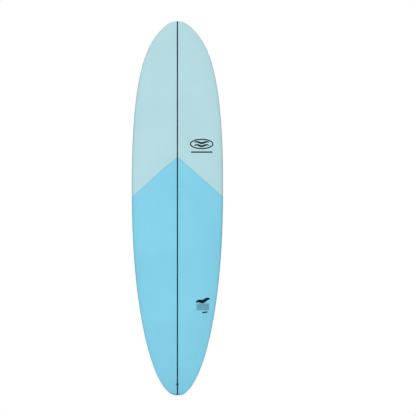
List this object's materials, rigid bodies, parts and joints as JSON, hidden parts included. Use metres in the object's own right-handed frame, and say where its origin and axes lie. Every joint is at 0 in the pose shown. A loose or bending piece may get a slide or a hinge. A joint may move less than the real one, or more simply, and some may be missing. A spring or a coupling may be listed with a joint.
{
  "type": "surfboard",
  "caption": "Round-nosed surfboard with a soft two-tone deck, a dark centre strip, a hard resin-swirl bottom, slotted fin boxes and a leash plug.",
  "frame": {"origin": "the tail tip, on the rail line and the centreline, where the board stands upright", "axes": "+Z from tail to nose, -Y out of the deck, +Y out of the bottom, +X to the right seen from the deck side"},
  "size_m": [0.596, 0.1378, 2.438],
  "materials": {
    "eps_foam": "fine closed-cell beads",
    "stringer_wood": "planed, unfinished",
    "clear_laminate": "sanded epoxy over glass cloth",
    "tinted_resin": "polished resin, blue and white swirls",
    "deck_foam_pale": "soft, fine pebble grain",
    "deck_foam_blue": "soft, fine pebble grain",
    "dark_strip": "smooth, slightly satin",
    "seam_strip": "satin",
    "insert_foam": "dense closed-cell foam",
    "dark_box_plastic": "moulded, satin",
    "grey_box_plastic": "moulded, satin",
    "stainless": "turned",
    "plug_plastic": "moulded, semi-gloss"
  },
  "bodies": {
    "board": {"stringer": "stringer_wood", "foam_core_left": "eps_foam", "foam_core_right": "eps_foam", "deck_laminate": "clear_laminate", "bottom_laminate": "tinted_resin", "deck_skin_front_left": "deck_foam_pale", "deck_skin_front_right": "deck_foam_pale", "deck_skin_rear_left": "deck_foam_blue", "deck_skin_rear_right": "deck_foam_blue", "stringer_inlay": "dark_strip", "rail_seam_left": "seam_strip", "rail_seam_right": "seam_strip", "centre_fin_block": "insert_foam", "centre_fin_box": "dark_box_plastic", "front_left_fin_block": "insert_foam", "front_right_fin_block": "insert_foam", "rear_left_fin_block": "insert_foam", "rear_right_fin_block": "insert_foam", "front_left_fin_box": "grey_box_plastic", "front_right_fin_box": "grey_box_plastic", "rear_left_fin_box": "grey_box_plastic", "rear_right_fin_box": "grey_box_plastic", "leash_block": "insert_foam", "leash_cup": "plug_plastic", "leash_pin": "plug_plastic"},
    "fin_plate": {"fin_plate": "stainless"},
    "fin_screw": {"fin_screw": "stainless"},
    "front_left_grub_screw": {"front_left_grub_screw": "stainless"},
    "front_right_grub_screw": {"front_right_grub_screw": "stainless"},
    "rear_left_grub_screw": {"rear_left_grub_screw": "stainless"},
    "rear_right_grub_screw": {"rear_right_grub_screw": "stainless"}
  },
  "joints": [
    {"name": "fin_plate_slide", "type": "slide", "parent": "board", "child": "fin_plate", "axis": [0, 0.0859, 0.9963], "range_m": [0, 0.2538]},
    {"name": "fin_screw_turn", "type": "hinge", "parent": "fin_plate", "child": "fin_screw", "pos_m": [0, 0.01387, 0.1287], "axis": [0, 0.9963, -0.0859], "range_deg": [0, 1080]},
    {"name": "front_left_grub_turn", "type": "hinge", "parent": "board", "child": "front_left_grub_screw", "pos_m": [-0.1576, 0.04139, 0.45813], "axis": [-0.0649, 0.995, -0.0753], "range_deg": [0, 1080]},
    {"name": "front_right_grub_turn", "type": "hinge", "parent": "board", "child": "front_right_grub_screw", "pos_m": [0.1576, 0.04139, 0.45813], "axis": [0.0649, 0.995, -0.0753], "range_deg": [0, 1080]},
    {"name": "rear_left_grub_turn", "type": "hinge", "parent": "board", "child": "rear_left_grub_screw", "pos_m": [-0.11582, 0.03283, 0.32234], "axis": [-0.0308, 0.9955, -0.0891], "range_deg": [0, 1080]},
    {"name": "rear_right_grub_turn", "type": "hinge", "parent": "board", "child": "rear_right_grub_screw", "pos_m": [0.11582, 0.03283, 0.32234], "axis": [0.0308, 0.9955, -0.0891], "range_deg": [0, 1080]}
  ]
}
